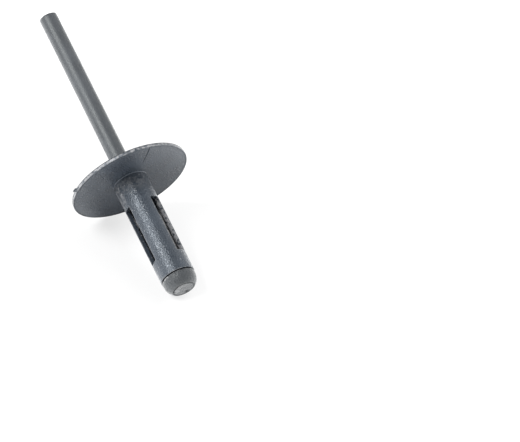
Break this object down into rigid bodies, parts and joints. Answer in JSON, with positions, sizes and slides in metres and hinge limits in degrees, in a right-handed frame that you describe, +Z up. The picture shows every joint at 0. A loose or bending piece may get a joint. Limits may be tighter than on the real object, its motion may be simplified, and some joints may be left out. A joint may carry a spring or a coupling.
{
  "type": "expansion rivet",
  "caption": "Plastic blind expansion rivet, unset: wide thin flange, slotted tubular shank with folding legs, and a pulling mandrel with a domed head and a long plain stem.",
  "frame": {"origin": "middle of the underside of the bounding box, on the surface that the rivet lies on", "axes": "+Z up; +X level, above the rivet's axis, towards its head; the axis dips 20 degrees below +X; +Y across it"},
  "size_m": [0.0566, 0.0224, 0.024],
  "materials": {
    "body_nylon": "fine moulded grain, satin",
    "mandrel_nylon": "smooth moulded, satin, cut ends dull"
  },
  "bodies": {
    "root": {"rivet_body": "body_nylon", "mandrel": "mandrel_nylon"}
  },
  "joints": []
}
